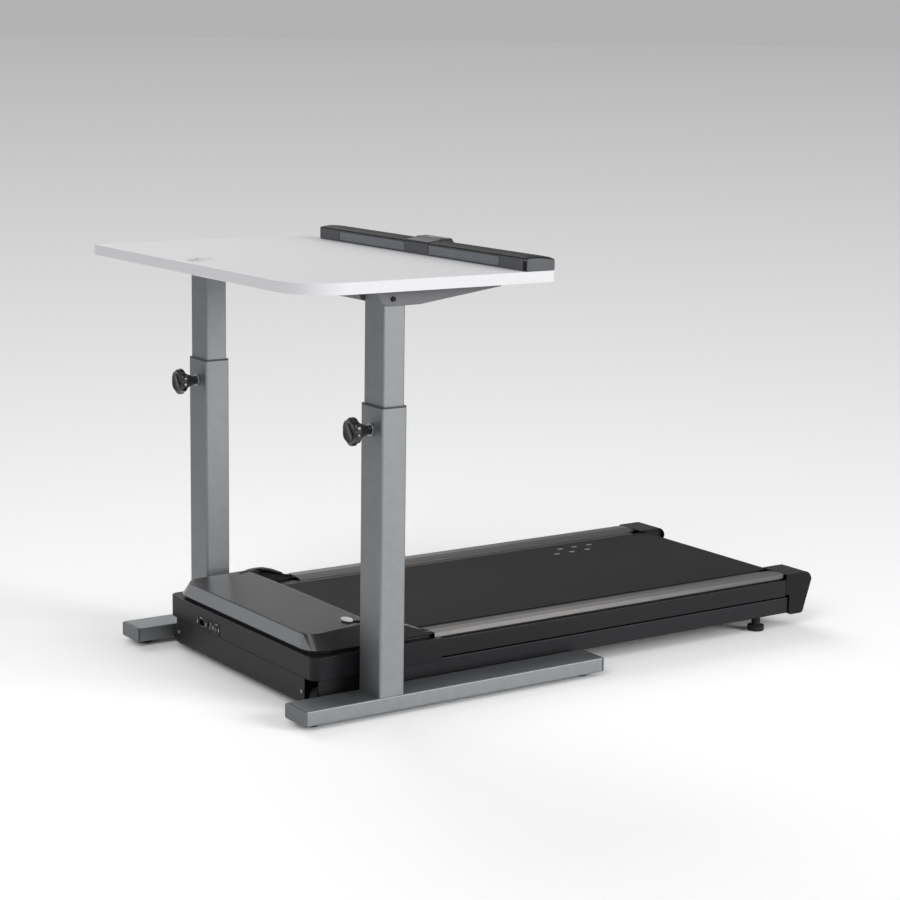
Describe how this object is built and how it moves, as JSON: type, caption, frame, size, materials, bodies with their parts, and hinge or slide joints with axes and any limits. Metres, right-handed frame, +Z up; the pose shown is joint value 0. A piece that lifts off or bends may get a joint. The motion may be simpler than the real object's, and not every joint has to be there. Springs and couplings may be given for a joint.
{
  "type": "walking treadmill desk",
  "caption": "Flat walking treadmill with motor hood, foot rails and walking belt, standing under a height-adjustable desk with clamp knobs and a padded console.",
  "frame": {"origin": "on the floor, under the middle of the whole assembly", "axes": "+Z up, -Y towards the motor end and the desk's front edge, +Y the end where the walker steps on, +X the walker's left"},
  "size_m": [1.0316, 1.69, 1.064],
  "materials": {
    "black_steel": "black powder coat",
    "deck_laminate": "black waxed laminate on fibreboard",
    "black_rubber": "matt moulded rubber",
    "belt_fabric": "matt woven PVC belt",
    "bright_steel": "turned, zinc plated",
    "motor_casing": "satin black enamel",
    "board_green": "glass-fibre circuit board",
    "charcoal_plastic": "fine-grained moulded plastic, semi-matt",
    "rail_aluminium": "grey anodised, satin",
    "wheel_black": "hard black tread",
    "gloss_black": "glossy black plastic",
    "silver_paint": "silver-grey powder coat",
    "grey_plastic": "dark grey moulded plastic",
    "arm_paint": "dark grey powder coat",
    "desk_white": "white laminated board",
    "grommet_grey": "light grey plastic",
    "pad_black": "black soft-touch covering over foam",
    "key_grey": "light grey keycaps",
    "key_red": "red moulded plastic"
  },
  "bodies": {
    "base": {"frame_rail_left": "black_steel", "frame_rail_right": "black_steel", "cross_front": "black_steel", "cross_rear": "black_steel", "deck_board": "deck_laminate", "deck_isolator_left": "black_rubber", "deck_isolator_right": "black_rubber", "walking_belt": "belt_fabric", "front_axle": "bright_steel", "rear_axle": "bright_steel", "drive_motor": "motor_casing", "drive_belt": "black_rubber", "control_board": "board_green", "front_housing": "charcoal_plastic", "front_panel": "charcoal_plastic", "motor_hood": "charcoal_plastic", "foot_rail_left": "rail_aluminium", "foot_rail_right": "rail_aluminium", "side_skirt_left": "charcoal_plastic", "side_skirt_right": "charcoal_plastic", "rear_cap_left": "charcoal_plastic", "rear_cap_right": "charcoal_plastic", "rear_foot_left": "black_rubber", "rear_foot_right": "black_rubber", "power_inlet": "gloss_black", "desk_foot_left": "silver_paint", "desk_foot_right": "silver_paint", "glide_front_left": "black_rubber", "glide_front_right": "black_rubber", "glide_rear_left": "black_rubber", "glide_rear_right": "black_rubber", "column_left": "silver_paint", "column_right": "silver_paint", "collar_left": "grey_plastic", "collar_right": "grey_plastic"},
    "desk": {"post_left": "silver_paint", "post_right": "silver_paint", "support_arm_left": "arm_paint", "support_arm_right": "arm_paint", "cross_beam": "silver_paint", "desktop": "desk_white", "grommet": "grommet_grey", "console_tray": "grey_plastic", "arm_pad_left": "pad_black", "arm_pad_right": "pad_black", "display_module": "gloss_black"},
    "drive_roller": {"front_roller": "bright_steel"},
    "tail_roller": {"rear_roller": "bright_steel"},
    "flywheel": {"motor_pulley": "bright_steel"},
    "wheel_left": {"transport_wheel_left": "wheel_black"},
    "wheel_right": {"transport_wheel_right": "wheel_black"},
    "rocker": {"power_switch": "gloss_black"},
    "breaker": {"breaker_button": "gloss_black"},
    "knob_left": {"clamp_knob_left": "gloss_black"},
    "knob_right": {"clamp_knob_right": "gloss_black"},
    "start_key": {"button_start": "key_grey"},
    "stop_key": {"button_stop": "key_grey"},
    "slower_key": {"button_slower": "key_grey"},
    "faster_key": {"button_faster": "key_grey"},
    "key": {"safety_key": "key_red"}
  },
  "joints": [
    {"name": "desk_lift", "type": "slide", "parent": "base", "child": "desk", "axis": [0, 0, 1], "range_m": [-0.1, 0.25]},
    {"name": "drive_roller_spin", "type": "hinge", "parent": "base", "child": "drive_roller", "pos_m": [0, -0.575, 0.1155], "axis": [1, 0, 0], "continuous": true},
    {"name": "tail_roller_spin", "type": "hinge", "parent": "base", "child": "tail_roller", "pos_m": [0, 0.76, 0.1155], "axis": [1, 0, 0], "continuous": true},
    {"name": "flywheel_spin", "type": "hinge", "parent": "base", "child": "flywheel", "pos_m": [0, -0.665, 0.09], "axis": [1, 0, 0], "continuous": true},
    {"name": "wheel_left_spin", "type": "hinge", "parent": "base", "child": "wheel_left", "pos_m": [-0.338, -0.695, 0.03], "axis": [1, 0, 0], "continuous": true},
    {"name": "wheel_right_spin", "type": "hinge", "parent": "base", "child": "wheel_right", "pos_m": [0.338, -0.695, 0.03], "axis": [1, 0, 0], "continuous": true},
    {"name": "power_rocker", "type": "hinge", "parent": "base", "child": "rocker", "pos_m": [-0.142, -0.724, 0.0965], "axis": [1, 0, 0], "range_deg": [0, 16]},
    {"name": "breaker_reset", "type": "slide", "parent": "base", "child": "breaker", "axis": [0, 1, 0], "range_m": [0, 0.002], "stiffness_N_per_m": 300},
    {"name": "knob_left_turn", "type": "hinge", "parent": "base", "child": "knob_left", "pos_m": [-0.4163, -0.614, 0.671], "axis": [0, -1, 0], "range_deg": [0, 360]},
    {"name": "knob_right_turn", "type": "hinge", "parent": "base", "child": "knob_right", "pos_m": [0.4163, -0.614, 0.671], "axis": [0, -1, 0], "range_deg": [0, 360]},
    {"name": "start_press", "type": "slide", "parent": "desk", "child": "start_key", "axis": [0, 0, -1], "range_m": [0, 0.0015], "stiffness_N_per_m": 300},
    {"name": "stop_press", "type": "slide", "parent": "desk", "child": "stop_key", "axis": [0, 0, -1], "range_m": [0, 0.0015], "stiffness_N_per_m": 300},
    {"name": "slower_press", "type": "slide", "parent": "desk", "child": "slower_key", "axis": [0, 0, -1], "range_m": [0, 0.0015], "stiffness_N_per_m": 300},
    {"name": "faster_press", "type": "slide", "parent": "desk", "child": "faster_key", "axis": [0, 0, -1], "range_m": [0, 0.0015], "stiffness_N_per_m": 300},
    {"name": "safety_key_pull", "type": "slide", "parent": "desk", "child": "key", "axis": [0, 1, 0], "range_m": [0, 0.02]}
  ],
  "couplings": [
    {"joint": "tail_roller_spin", "follows": "drive_roller_spin", "ratio": 1},
    {"joint": "flywheel_spin", "follows": "drive_roller_spin", "ratio": 3.04}
  ]
}
